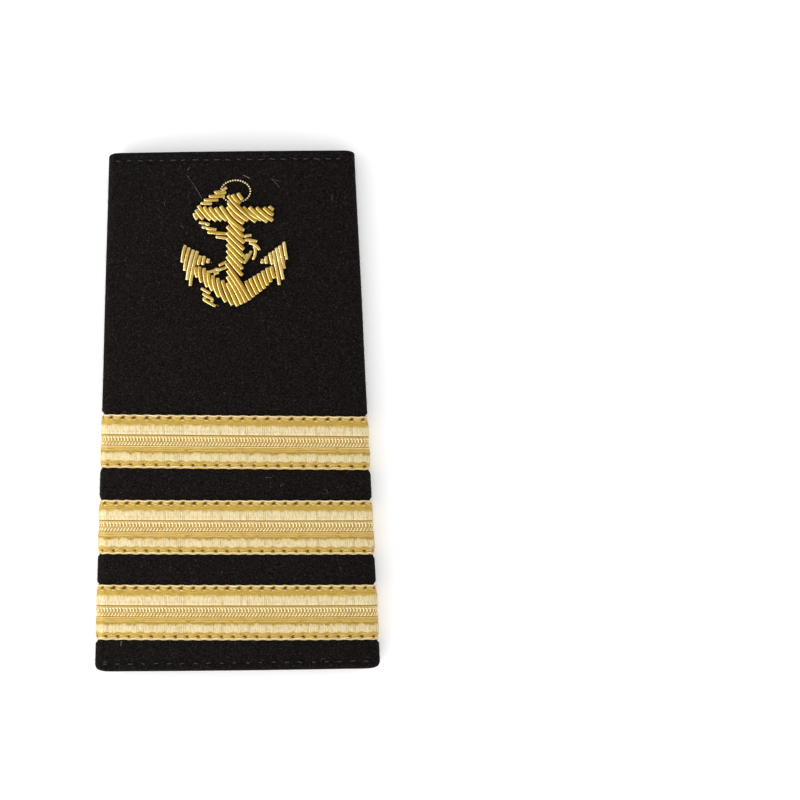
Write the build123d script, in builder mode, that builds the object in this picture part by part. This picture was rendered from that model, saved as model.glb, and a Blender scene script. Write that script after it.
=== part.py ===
# A slip-on epaulette: a tapered tube of black felted cloth with three gold laces
# and a gold bullion anchor wound with a rope, lying face up on its back.
# Frame: +Y runs to the neck end and +Z up through the arched face. The origin is
# on the surface that it lies on, under its middle. Sizes are in millimetres.
import os
from collections import namedtuple
from math import asin, cos, radians, sin, sqrt

from build123d import *

# The tapered cloth tube
slide_length = 113.0
shoulder_width = 62.4
neck_width = 53.6
shoulder_corner_radius = 1.8
neck_corner_radius = 1.0
arch_rise = 3.0  # the crown of the face above the tops of its side folds
face_thickness = 1.6
fold_inner_radius = 0.5
return_depth = 11.0  # how far each side is turned under, from the outside of its fold
hem_thickness = 0.8  # the edge turned in under the face at both ends
hem_depth = 7.0
hem_side_gap = 3.0  # from the turned-in edge to the inside of the side folds

# The back, sewn over the turned-under sides
back_thickness = 1.2
back_side_inset = 6.0  # from the outside of the folds to the back's side edges
back_end_inset = 1.5
back_corner_radius = 3.0
seam_clearance = 0.05

# The three laces
lace_width = 12.0
lace_pitch = 18.55
lowest_lace_height = 12.7  # centre of the lowest lace above the shoulder end
lace_thickness = 0.6
lace_clearance = 0.05
lace_end_gap = 0.2  # from each lace end to the back's side edge

# The bullion anchor
anchor_width = 23.2
anchor_height = 27.8
anchor_offset = 0.6  # from the slide's centre line to the shank's
anchor_neck_gap = 6.1  # from the ring's top to the neck end
bullion_height = 1.3
trim_clearance = 0.05
piece_gap = 0.2  # between two neighbouring pieces of the anchor
shank_width = 3.85
stock_length = 17.7
stock_height = 3.5
stock_corner = 0.9
ring_width = 6.5
ring_height = 5.0
ring_wire = 0.5
ring_start = -48  # degrees, beside the head
ring_turn = 178  # degrees round to where the rope covers the ring
head_corner = 0.8

# Places along the slide and up through it
half_length = slide_length / 2
fold_outer_radius = fold_inner_radius + face_thickness
return_level = back_thickness + seam_clearance
fold_centre_level = return_level + fold_outer_radius
lace_places = {
    name: lowest_lace_height + number * lace_pitch - half_length
    for number, name in enumerate(("lace_lower", "lace_middle", "lace_upper"))
}
anchor_top = half_length - anchor_neck_gap
anchor_foot = anchor_top - anchor_height

# The lace's cross-profile: place over its width from the lower edge, and its
# thickness there, both as shares
LaceRib = namedtuple("LaceRib", "across thickness")
lace_ribs = (
    LaceRib(0.00, 0.60),  # lower selvedge
    LaceRib(0.06, 0.70),
    LaceRib(0.10, 0.88),  # satin
    LaceRib(0.30, 0.92),
    LaceRib(0.34, 1.00),  # braided middle
    LaceRib(0.56, 1.00),
    LaceRib(0.60, 0.92),  # pale ribs and satin
    LaceRib(0.90, 0.88),
    LaceRib(0.95, 0.70),
    LaceRib(1.00, 0.60),  # upper selvedge
)

# Corners of the anchor's outlines, as shares: across is from the shank's centre
# line over the anchor's width, and up is from the crown's tip over its height
Corner = namedtuple("Corner", "across up")
stock_middle = Corner(-0.005, 0.73)
ring_middle = Corner(0.01, 0.90)
crown_tip = Corner(0.01, 0.0)
crown_notch_up = 0.195  # where the shank meets the crown
head_top_up = 0.895

arm_outlines = {
    "left": {"top": Corner(-0.39, 0.32), "foot": Corner(-0.37, 0.22), "belly": Corner(-0.19, 0.09)},
    "right": {"top": Corner(0.37, 0.315), "foot": Corner(0.36, 0.21), "belly": Corner(0.195, 0.09)},
}

fluke_outlines = {
    "anchor_fluke_left": (
        Corner(-0.47, 0.49),  # bill
        Corner(-0.51, 0.36),
        Corner(-0.475, 0.22),
        Corner(-0.44, 0.16),  # lower spike
        Corner(-0.41, 0.20),
        Corner(-0.405, 0.34),
        Corner(-0.27, 0.34),
        Corner(-0.25, 0.38),  # inner end
        Corner(-0.36, 0.44),
    ),
    "anchor_fluke_right": (
        Corner(0.46, 0.50),  # bill
        Corner(0.49, 0.36),
        Corner(0.45, 0.21),
        Corner(0.41, 0.16),  # lower spike
        Corner(0.385, 0.19),
        Corner(0.385, 0.33),
        Corner(0.25, 0.33),
        Corner(0.24, 0.37),  # inner end
        Corner(0.33, 0.43),
    ),
}

rope_outlines = {
    "rope_upper": (
        Corner(-0.075, 0.935),
        Corner(-0.10, 0.87),
        Corner(-0.14, 0.84),
        Corner(-0.20, 0.81),
        Corner(-0.32, 0.81),
        Corner(-0.30, 0.85),
        Corner(-0.25, 0.89),
        Corner(-0.16, 0.92),
    ),
    "rope_middle": (
        Corner(-0.32, 0.655),
        Corner(-0.24, 0.65),
        Corner(-0.17, 0.63),
        Corner(-0.095, 0.59),
        Corner(-0.095, 0.53),
        Corner(-0.19, 0.55),
        Corner(-0.27, 0.58),
        Corner(-0.32, 0.62),
    ),
    "rope_loop": (
        Corner(0.095, 0.57),
        Corner(0.15, 0.57),
        Corner(0.21, 0.53),
        Corner(0.24, 0.45),
        Corner(0.21, 0.40),
        Corner(0.17, 0.36),
        Corner(0.095, 0.33),
        Corner(0.095, 0.38),
        Corner(0.12, 0.42),
        Corner(0.14, 0.45),
        Corner(0.12, 0.50),
        Corner(0.095, 0.51),
    ),
    "rope_lower": (
        Corner(-0.095, 0.37),
        Corner(-0.095, 0.31),
        Corner(-0.14, 0.28),
        Corner(-0.20, 0.25),
        Corner(-0.25, 0.28),
        Corner(-0.18, 0.32),
        Corner(-0.16, 0.34),
    ),
    "rope_tail": (
        Corner(-0.33, 0.165),
        Corner(-0.30, 0.145),
        Corner(-0.24, 0.10),
        Corner(-0.21, 0.065),
        Corner(-0.18, 0.02),
        Corner(-0.20, 0.00),
        Corner(-0.26, 0.02),
        Corner(-0.31, 0.06),
        Corner(-0.29, 0.09),
        Corner(-0.32, 0.12),
    ),
}


def half_width(along):
    """Half the slide's width at a place along it, before its corners are rounded."""
    share = (along + half_length) / slide_length
    return (shoulder_width + (neck_width - shoulder_width) * share) / 2


def arch_angle(fold_x):
    """Half the angle of the arch that runs smoothly from one side fold to the other."""
    return asin(2 * arch_rise * fold_x / (fold_x**2 + arch_rise**2))


def arch_at(fold_x, level):
    """Radius and centre height of the arch that lies level above the cloth's outside."""
    centre_distance = (fold_x**2 + arch_rise**2) / (2 * arch_rise)
    radius = centre_distance + fold_outer_radius + level
    centre = fold_centre_level + fold_outer_radius + arch_rise + level - radius
    return radius, centre


def wrap_points(fold_x, level):
    """Points of one wrapped layer on the right side, from the crown round the fold."""
    radius = fold_outer_radius + level
    turn = arch_angle(fold_x)
    crown = (0, fold_centre_level + fold_outer_radius + arch_rise + level)
    joint = (fold_x + radius * sin(turn), fold_centre_level + radius * cos(turn))
    middle_turn = turn / 2 + radians(90)
    side = (fold_x + radius * sin(middle_turn), fold_centre_level + radius * cos(middle_turn))
    foot = (fold_x, fold_centre_level - radius)
    return crown, joint, side, foot


def mirrored(point):
    """The same point on the slide's left side."""
    return (-point[0], point[1])


def wrapped_section(along, edge_x, return_x, inside, outside):
    """Section of a layer that lies over the arch, round both folds and under."""
    fold_x = edge_x - fold_outer_radius
    inner = wrap_points(fold_x, inside)
    outer = wrap_points(fold_x, outside)
    with BuildSketch(Plane.XZ.offset(-along)) as section:
        with BuildLine():
            for crown, joint, side, foot in (inner, outer):
                ThreePointArc(mirrored(joint), crown, joint)
                ThreePointArc(joint, side, foot)
                ThreePointArc(mirrored(joint), mirrored(side), mirrored(foot))
                Line(foot, (return_x, foot[1]))
                Line(mirrored(foot), (-return_x, foot[1]))
            for end_x in (-return_x, return_x):
                Line((end_x, inner[3][1]), (end_x, outer[3][1]))
        make_face()
    return section.sketch


def arch_section(along, fold_x, reach, inside, outside):
    """Section of a layer that lies on or under the arch and stops short of the folds."""
    with BuildSketch(Plane.XZ.offset(-along)) as section:
        with BuildLine():
            ends = []
            for level in (inside, outside):
                radius, centre = arch_at(fold_x, level)
                end = (reach, centre + sqrt(radius**2 - reach**2))
                ThreePointArc(mirrored(end), (0, centre + radius), end)
                ends.append(end)
            Line(ends[0], ends[1])
            Line(mirrored(ends[0]), mirrored(ends[1]))
        make_face()
    return section.sketch


def face_stations():
    """Places along the face and how far its rounded corners draw the sides in there."""
    stations = [(0.0, 0.0)]
    for end, radius in ((-1, shoulder_corner_radius), (1, neck_corner_radius)):
        for turn in (90, 60, 30, 0):
            along = end * (half_length - radius * (1 - sin(radians(turn))))
            stations.append((along, radius * (1 - cos(radians(turn)))))
    return sorted(stations)


def face_section(along, inset):
    """Section of the cloth face, its folds and the sides turned under."""
    edge_x = half_width(along) - inset
    return wrapped_section(along, edge_x, edge_x - return_depth, -face_thickness, 0)


def hem_section(along, inset):
    """Section of the edge turned in under the face, which starts inside the cloth."""
    fold_x = half_width(along) - inset - fold_outer_radius
    reach = fold_x + fold_inner_radius - hem_side_gap
    hem_level = -face_thickness - hem_thickness
    return arch_section(along, fold_x, reach, hem_level, -face_thickness / 2)


def hem_stations(end):
    """The face's own stations at one end, and the place where the turned-in edge stops."""
    corners = [station for station in face_stations() if station[0] * end > 0]
    return sorted(corners + [(end * (half_length - hem_depth), 0.0)])


def lace_part(place):
    """One lace, wrapped over the face and both folds to the back's side edges."""
    sections = []
    for rib in lace_ribs:
        along = place + (rib.across - 0.5) * lace_width
        edge_x = half_width(along)
        end_x = edge_x - back_side_inset + lace_end_gap
        outside = lace_clearance + lace_thickness * rib.thickness
        sections.append(wrapped_section(along, edge_x, end_x, lace_clearance, outside))
    with BuildPart() as lace:
        loft(sections, ruled=True)
    return lace.part


def anchor_point(corner):
    """Where an outline's corner lies in the slide's plan."""
    return (anchor_offset + corner.across * anchor_width, anchor_foot + corner.up * anchor_height)


def anchor_layer():
    """The arched layer on the face that every piece of the anchor is cut from."""
    reach = anchor_width / 2 + anchor_offset + bullion_height
    top_level = trim_clearance + bullion_height
    sections = []
    for along in (anchor_foot - bullion_height, anchor_top + bullion_height):
        fold_x = half_width(along) - fold_outer_radius
        sections.append(arch_section(along, fold_x, reach, trim_clearance, top_level))
    with BuildPart() as layer:
        loft(sections, ruled=True)
    return layer.part


def cornered_outline(corners):
    """A plan outline with straight sides between its corners."""
    with BuildSketch() as outline:
        with BuildLine():
            Polyline(*[anchor_point(corner) for corner in corners], close=True)
        make_face()
    return outline.sketch


def bars_and_gap():
    """The plan of the shank, the head and the stock, with the gap round them."""
    bars_middle = anchor_foot + (crown_notch_up + head_top_up) * anchor_height / 2
    bars_length = (head_top_up - crown_notch_up) * anchor_height
    with BuildSketch() as bars:
        with Locations((anchor_offset, bars_middle)):
            Rectangle(shank_width + 2 * piece_gap, bars_length + 2 * piece_gap)
        with Locations(anchor_point(stock_middle)):
            Rectangle(stock_length + 2 * piece_gap, stock_height + 2 * piece_gap)
    return bars.sketch


def relief_part(sketch):
    """One raised piece of the anchor: its plan outline, cut from the arched layer."""
    with BuildPart() as relief:
        add(sketch)
        extrude(amount=fold_centre_level + fold_outer_radius + arch_rise + 2 * bullion_height)
        add(anchor_layer(), mode=Mode.INTERSECT)
    return relief.part


# The cloth face, its turned-under sides and its turned-in ends
with BuildPart() as face_panel:
    loft([face_section(*station) for station in face_stations()], ruled=True)
    for end in (-1, 1):
        loft([hem_section(*station) for station in hem_stations(end)], ruled=True)

# The back
with BuildPart() as back_panel:
    with BuildSketch() as back_outline:
        with BuildLine():
            back_end = half_length - back_end_inset
            neck_x = half_width(back_end) - back_side_inset
            shoulder_x = half_width(-back_end) - back_side_inset
            Polyline(
                (-shoulder_x, -back_end),
                (shoulder_x, -back_end),
                (neck_x, back_end),
                (-neck_x, back_end),
                close=True,
            )
        make_face()
        fillet(back_outline.vertices(), radius=back_corner_radius)
    extrude(amount=back_thickness)

pieces = {"face_panel": face_panel.part, "back_panel": back_panel.part}

# The laces
for name, place in lace_places.items():
    pieces[name] = lace_part(place)

# The anchor's bars
stock_x, stock_y = anchor_point(stock_middle)
head_foot = stock_y + stock_height / 2 + piece_gap
head_top = anchor_foot + head_top_up * anchor_height
with BuildSketch() as head_outline:
    with Locations((anchor_offset, (head_foot + head_top) / 2)):
        Rectangle(shank_width, head_top - head_foot)
    chamfer(head_outline.vertices().group_by(Axis.Y)[-1], length=head_corner)
pieces["anchor_head"] = relief_part(head_outline.sketch)

with BuildSketch() as stock_outline:
    with Locations((stock_x, stock_y)):
        Rectangle(stock_length, stock_height)
    chamfer(stock_outline.vertices(), length=stock_corner)
pieces["anchor_stock"] = relief_part(stock_outline.sketch)

shank_top = stock_y - stock_height / 2 - piece_gap
shank_foot = anchor_foot + crown_notch_up * anchor_height + piece_gap
with BuildSketch() as shank_outline:
    with Locations((anchor_offset, (shank_foot + shank_top) / 2)):
        Rectangle(shank_width, shank_top - shank_foot)
pieces["anchor_shank"] = relief_part(shank_outline.sketch)

# The crown and both arms
crown_y = anchor_foot + crown_notch_up * anchor_height
with BuildSketch() as arms_outline:
    with BuildLine():
        notches = []
        for side, corners in zip((-1, 1), (arm_outlines["left"], arm_outlines["right"])):
            top, foot, belly = (anchor_point(corners[key]) for key in ("top", "foot", "belly"))
            notch = (anchor_offset + side * shank_width / 2, crown_y)
            ThreePointArc(foot, belly, anchor_point(crown_tip))
            Polyline(foot, top, notch)
            notches.append(notch)
        Line(*notches)
    make_face()
pieces["anchor_arms"] = relief_part(arms_outline.sketch)

# The flukes
for name, corners in fluke_outlines.items():
    pieces[name] = relief_part(cornered_outline(corners))

# The ring, from where the rope covers it round to the head's far side
with BuildSketch() as ring_outline:
    with BuildLine():
        EllipticalCenterArc(
            anchor_point(ring_middle),
            (ring_width - ring_wire) / 2,
            (ring_height - ring_wire) / 2,
            start_angle=ring_start,
            arc_size=ring_turn,
        )
    trace(line_width=ring_wire)
    add(bars_and_gap(), mode=Mode.SUBTRACT)
pieces["anchor_ring"] = relief_part(ring_outline.sketch)

# The rope
for name, corners in rope_outlines.items():
    with BuildSketch() as rope_outline:
        add(cornered_outline(corners))
        add(bars_and_gap(), mode=Mode.SUBTRACT)
    pieces[name] = relief_part(rope_outline.sketch)

os.makedirs("parts", exist_ok=True)
for name, piece in pieces.items():
    piece.label = name
    export_step(piece, f"parts/{name}.step")
    print(f"{name}: {piece.volume:.1f} mm3, {len(piece.solids())} solid")
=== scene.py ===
# A slip-on epaulette in black felted wool, with three gold laces and a bullion anchor.
# The numbers are millimetres, and makePiece writes them as metres.
import math

import bpy
import numpy as np
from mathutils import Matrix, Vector


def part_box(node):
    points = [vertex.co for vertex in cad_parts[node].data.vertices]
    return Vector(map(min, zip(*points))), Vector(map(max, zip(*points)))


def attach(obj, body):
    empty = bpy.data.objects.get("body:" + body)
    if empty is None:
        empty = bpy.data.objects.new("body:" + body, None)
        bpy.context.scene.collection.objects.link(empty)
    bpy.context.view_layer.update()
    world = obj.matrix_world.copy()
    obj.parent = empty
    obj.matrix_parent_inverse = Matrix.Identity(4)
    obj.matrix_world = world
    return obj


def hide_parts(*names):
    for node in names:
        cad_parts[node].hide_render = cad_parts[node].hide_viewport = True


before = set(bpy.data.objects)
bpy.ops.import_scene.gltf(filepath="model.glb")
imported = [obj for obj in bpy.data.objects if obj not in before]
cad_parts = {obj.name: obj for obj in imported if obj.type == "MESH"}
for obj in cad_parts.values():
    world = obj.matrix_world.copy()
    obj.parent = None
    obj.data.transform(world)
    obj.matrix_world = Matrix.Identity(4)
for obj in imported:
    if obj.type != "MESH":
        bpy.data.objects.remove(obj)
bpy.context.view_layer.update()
mm = 0.001
rng = np.random.default_rng(7)
print("frame loaded")


# What the CAD frame says
def boxOf(node):
    # A node's box in millimetres
    low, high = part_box(node)
    return np.array(low) / mm, np.array(high) / mm


faceLow, faceHigh = boxOf("face_panel")
backLow, backHigh = boxOf("back_panel")
shankLow, shankHigh = boxOf("anchor_shank")
armsLow = boxOf("anchor_arms")[0]

slide = {
    "shoulderWidth": 62.4,
    "neckWidth": 53.6,
    "foldRadius": 2.1,
    "shoulderCorner": 1.8,
    "neckCorner": 1.0,
    "lacePress": 0.5,  # the laces are sewn on tight and sink that far into the folds
}
slide["half"] = (faceHigh[1] - faceLow[1]) / 2
slide["foldLevel"] = faceLow[2] + slide["foldRadius"]
slide["rise"] = faceHigh[2] - faceLow[2] - 2 * slide["foldRadius"]
slide["crown"] = faceHigh[2]
anchorOrigin = np.array([(shankLow[0] + shankHigh[0]) / 2, armsLow[1]])  # shank's line, crown's tip
# Each lace lies slightly askew, its middle line at middle - tilt x, and moved a little from
# its solid. Its needle holes have a pitch, a phase and, in the lower row, a shift, and its
# braid has a pitch of its own.
laces = {
    "lace_upper": {
        "width": 11.82, "moved": -0.11, "tilt": 0.020,
        "pitch": 2.65, "phase": 1.96, "shift": -0.37, "braid": 0.709},
    "lace_middle": {
        "width": 11.96, "moved": -0.08, "tilt": 0.013,
        "pitch": 2.48, "phase": 1.01, "shift": -0.33, "braid": 0.725},
    "lace_lower": {
        "width": 12.19, "moved": -0.055, "tilt": 0.0115,
        "pitch": 2.52, "phase": 0.66, "shift": -1.28, "braid": 0.717},
}
for name, plan in laces.items():
    low, high = boxOf(name)
    plan["middle"] = (low[1] + high[1]) / 2 + plan["moved"]


# Meshes
def gridFaces(rows, columns, closeRows=False, closeColumns=False):
    # Quads between neighbouring points of a grid that is numbered row by row
    i = np.arange(rows if closeRows else rows - 1)[:, None]
    j = np.arange(columns if closeColumns else columns - 1)[None, :]
    nextI = (i + 1) % rows
    nextJ = (j + 1) % columns
    corners = (i * columns + j, i * columns + nextJ, nextI * columns + nextJ, nextI * columns + j)
    return np.stack(corners, -1).reshape(-1, 4)


def ringGrid(points, uv=None, **marks):
    # A tube whose rows are closed rings, with a flat cap over the first and the last
    rows, columns = points.shape[:2]
    first = np.arange(columns)[::-1]
    last = (rows - 1) * columns + np.arange(columns)
    quads = gridFaces(rows, columns, closeColumns=True)
    return {"points": points, "quads": quads, "caps": [first, last], "uv": uv, "marks": marks}


def unit(vectors):
    # Each vector over its own length
    return vectors / np.maximum(np.linalg.norm(vectors, axis=-1, keepdims=True), 1e-9)


def tubes(paths, radii, sides=8, up=(0.0, 0.0, 1.0), squash=1.0, upright=False, **marks):
    # A tube round each path: a ring's point is centre + radius (cos t side + squash sin t
    # top), with side = direction x up and top = side x direction. Both ends are flat caps.
    # The radius is given for each path and ring, and may be given for each side too.
    # Upright rings take the path's level direction, so that a sloping tube is cut off plumb.
    count, rings = paths.shape[:2]
    run = unit(np.gradient(paths, axis=1) * ((1, 1, 0) if upright else 1))
    side = unit(np.cross(run, up))
    top = np.cross(side, run)
    turn = np.arange(sides) / sides * 2 * np.pi
    spokes = np.cos(turn)[:, None] * side[:, :, None] + squash * np.sin(turn)[:, None] * top[:, :, None]
    radii = np.asarray(radii, float)
    radii = radii if radii.ndim == 3 else np.broadcast_to(radii, (count, rings))[..., None]
    points = paths[:, :, None] + radii[..., None] * spokes
    starts = np.arange(count)[:, None] * rings * sides
    quads = gridFaces(rings, sides, closeColumns=True)[None] + starts[..., None]
    first = np.arange(sides)[::-1] + starts
    last = np.arange(sides) + (rings - 1) * sides + starts
    steps = np.linalg.norm(np.diff(paths, axis=1), axis=-1)
    along = np.concatenate([np.zeros((count, 1)), np.cumsum(steps, 1)], 1)
    uv = np.stack(np.broadcast_arrays(along[..., None], turn), -1)
    marks = {mark: np.broadcast_to(value, (count, rings, sides)) for mark, value in marks.items()}
    return {"points": points, "quads": quads, "caps": [*first, *last], "uv": uv, "marks": marks}


def joined(parts):
    # Several meshes as one, each one's corner numbers moved past the points before it
    counts = [part["points"].reshape(-1, 3).shape[0] for part in parts]
    starts = np.concatenate([[0], np.cumsum(counts)[:-1]])
    return {
        "points": np.concatenate([part["points"].reshape(-1, 3) for part in parts]),
        "quads": np.concatenate([p["quads"].reshape(-1, 4) + s for p, s in zip(parts, starts)]),
        "caps": [cap + s for part, s in zip(parts, starts) for cap in part["caps"]],
        "uv": np.concatenate([part["uv"].reshape(-1, 2) for part in parts]),
        "marks": {
            mark: np.concatenate([part["marks"][mark].ravel() for part in parts])
            for mark in parts[0]["marks"]
        },
    }


def makePiece(name, shape, material, replaced=()):
    # Writes a mesh into a new object at the origin; its faces point out once the volume
    # they enclose, the sum of a . (b x c) / 6 over both triangles of each quad, is positive
    points = shape["points"].reshape(-1, 3) * mm
    quads = shape["quads"].reshape(-1, 4)
    a, b, c, d = (points[quads[:, k]] for k in range(4))
    inward = np.sum(a * np.cross(b, c)) + np.sum(a * np.cross(c, d)) < 0
    faces = [*quads.tolist(), *(cap.tolist() for cap in shape["caps"])]
    if inward:
        faces = [face[::-1] for face in faces]
    mesh = bpy.data.meshes.new(name)
    mesh.from_pydata(points.tolist(), [], faces)
    mesh.shade_smooth()
    if shape.get("uv") is not None:
        corners = np.empty(len(mesh.loops), int)
        mesh.loops.foreach_get("vertex_index", corners)
        layer = mesh.uv_layers.new(name="threadMap")
        layer.data.foreach_set("uv", shape["uv"].reshape(-1, 2)[corners].ravel())
    for mark, values in shape.get("marks", {}).items():
        attribute = mesh.attributes.new(mark, "FLOAT", "POINT")
        attribute.data.foreach_set("value", np.asarray(values, float).ravel())
    mesh.materials.append(material)
    piece = bpy.data.objects.new(name, mesh)
    bpy.context.scene.collection.objects.link(piece)
    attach(piece, "root")
    if replaced:
        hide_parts(*replaced)
    return piece


def smoothStep(value, low, high):
    # 0 below low, 1 above high and 3t^2 - 2t^3 between
    t = np.clip((value - low) / (high - low), 0, 1)
    return t * t * (3 - 2 * t)


def bell(distance, width):
    # exp(-(distance / width)^2)
    return np.exp(-((distance / width) ** 2))


def wobble(x, y, size, seed, waves=6):
    # A few sine waves in seeded directions, about -1 to 1, with hills of that size
    pick = np.random.default_rng(seed)
    heading, phase = pick.uniform(0, 2 * np.pi, (2, waves))
    length = size * pick.uniform(0.7, 1.6, waves)
    across = np.multiply.outer(x, np.cos(heading)) + np.multiply.outer(y, np.sin(heading))
    return np.sin(across * 2 * np.pi / length + phase).sum(-1) / 3.5


# Shape of the wrapped cloth
def halfWidth(along):
    # Half the width grows in a straight line from the neck to the shoulder
    share = (along + slide["half"]) / (2 * slide["half"])
    return (slide["shoulderWidth"] + (slide["neckWidth"] - slide["shoulderWidth"]) * share) / 2


def archOf(along, inset=0.0):
    # Where the fold's centre is, the arch's radius, and the angle where arch meets fold
    foldX = halfWidth(along) - inset - slide["foldRadius"]
    spread = (foldX**2 + slide["rise"] ** 2) / (2 * slide["rise"])
    return foldX, spread + slide["foldRadius"], np.arcsin(foldX / spread)


def wrapPoint(station, along, level, inset=0.0, run=3.0):
    # A station is 0 on the crown, 1 where the arch meets the fold, 2 where the fold has
    # turned under and 3 at the end of the turned-under run, and is negative on the left.
    # Arch and fold are circles with one tangent, and level is added to their radius.
    station, along, level = np.broadcast_arrays(station, along, level)
    foldX, archRadius, lean = archOf(along, inset)
    place = np.abs(station)
    onArch = place < 1
    turn = np.where(onArch, place * lean, lean + (np.pi - lean) * np.clip(place - 1, 0, 1))
    radius = np.where(onArch, archRadius, slide["foldRadius"]) + level
    centreX = np.where(onArch, 0, foldX)
    centreZ = np.where(onArch, slide["crown"] - archRadius, slide["foldLevel"])
    x = centreX + radius * np.sin(turn) - run * np.clip(place - 2, 0, 1)
    z = centreZ + radius * np.cos(turn)
    return np.stack([np.where(station < 0, -x, x), along, z], -1)


def stationAt(girth, along, run):
    # The station that lies girth millimetres from the crown, measured over the outside
    foldX, archRadius, lean = archOf(along)
    archRun = archRadius * lean
    foldRun = slide["foldRadius"] * (np.pi - lean)
    far = np.abs(girth)
    place = np.where(far < archRun, far / archRun, 1 + (far - archRun) / foldRun)
    place = np.where(far < archRun + foldRun, place, 2 + (far - archRun - foldRun) / run)
    return np.copysign(place, girth)


def foldPress(station):
    # How far the laces are pressed in: halfway round a fold, and not on the arch or under it
    place = np.abs(station)
    return slide["lacePress"] * smoothStep(place, 0.95, 1.3) * smoothStep(place, 1.95, 1.55)


def faceLevel(x, y):
    # Height of the arch over a place in the plan
    foldX, archRadius, lean = archOf(y)
    return slide["crown"] - archRadius + np.sqrt(archRadius**2 - x**2)


# Materials
wavePeriod = 0.31416  # a wave texture of scale 1 repeats every pi / 10
colourMix = {"data_type": "RGBA", "output": 2}  # of a Mix node: input 6 is one colour, 7 the other


def linear(hexColour):
    # sRGB to linear: a value up to 0.04 is divided by 12.92, the rest raised to 2.4
    values = [int(hexColour[k : k + 2], 16) / 255 for k in (1, 3, 5)]
    return [v / 12.92 if v <= 0.04045 else ((v + 0.055) / 1.055) ** 2.4 for v in values] + [1.0]


def addNode(tree, kind, inputs=None, output=0, **settings):
    # One node with its settings. Each input is a value or the socket that feeds it, and
    # the output that is asked for is given back.
    node = tree.nodes.new("ShaderNode" + kind)
    for key, value in settings.items():
        setattr(node, key, value)
    for key, value in (inputs or {}).items():
        if isinstance(value, bpy.types.NodeSocket):
            tree.links.new(value, node.inputs[key])
        else:
            node.inputs[key].default_value = value
    return node.outputs[output]


def newMaterial(name, shader):
    # A material whose surface is one Principled shader with those constant settings
    material = bpy.data.materials.new(name)
    material.use_nodes = True
    surface = material.node_tree.nodes["Principled BSDF"]
    for key, value in shader.items():
        surface.inputs[key].default_value = value
    return material, material.node_tree, surface


feltLook = {
    "deep": "#000000",
    "nap": "#201b19",
    "fleck": "#4a423e",
    "fibreSize": 0.30,  # real fibres are 0.02 mm, drawn coarser so that they show
    "fleckSize": 0.42,
    "bump": 0.5,
}


def makeFeltMaterial():
    # Melton: wool woven, milled until it felts and cropped, so it is matte and drinks the
    # light, with a short uneven nap, a few paler flecks and no thread showing
    material, tree, surface = newMaterial("blackMeltonWool", {
        "Roughness": 0.95, "IOR": 1.5, "Specular IOR Level": 0.06})
    place = addNode(tree, "TexCoord", output="Object")
    fine = addNode(tree, "TexNoise", {
        "Vector": place, "Scale": 1 / (feltLook["fibreSize"] * mm), "Detail": 4.0,
        "Roughness": 0.7, "Distortion": 1.2})
    patch = addNode(tree, "TexNoise", {
        "Vector": place, "Scale": 1 / (feltLook["fleckSize"] * mm), "Detail": 5.0,
        "Roughness": 0.75})
    shade = addNode(tree, "MapRange", {"Value": fine, "From Min": 0.40, "From Max": 0.66})
    flecks = addNode(tree, "MapRange", {
        "Value": patch, "From Min": 0.56, "From Max": 0.74, "To Max": 0.8})
    nap = addNode(tree, "Mix", {
        0: shade, 6: linear(feltLook["deep"]), 7: linear(feltLook["nap"])}, **colourMix)
    colour = addNode(tree, "Mix", {0: flecks, 6: nap, 7: linear(feltLook["fleck"])}, **colourMix)
    tree.links.new(colour, surface.inputs["Base Color"])
    bump = addNode(tree, "Bump", {
        "Height": fine, "Strength": feltLook["bump"], "Distance": 0.25 * mm})
    tree.links.new(bump, surface.inputs["Normal"])
    return material


laceLook = {
    "gold": "#c5a349",
    "pale": "#ebdfbb",
    "streak": "#c3aa6a",  # the duller streaks in the pale bands
    "olive": "#8a7430",
    "rust": "#c0914f",
    "shadow": "#653a00",
    "thread": "#ffefc2",
    "ribPitch": 0.41,
    "streaks": (3.6, 0.9),  # to a millimetre, side by side and end to end
    "floatLength": 2.2,  # the gold threads' visible runs
    "floatWidth": 0.16,  # a thread is about 0.1 mm, drawn coarser
    "bump": 0.3,
}


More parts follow.
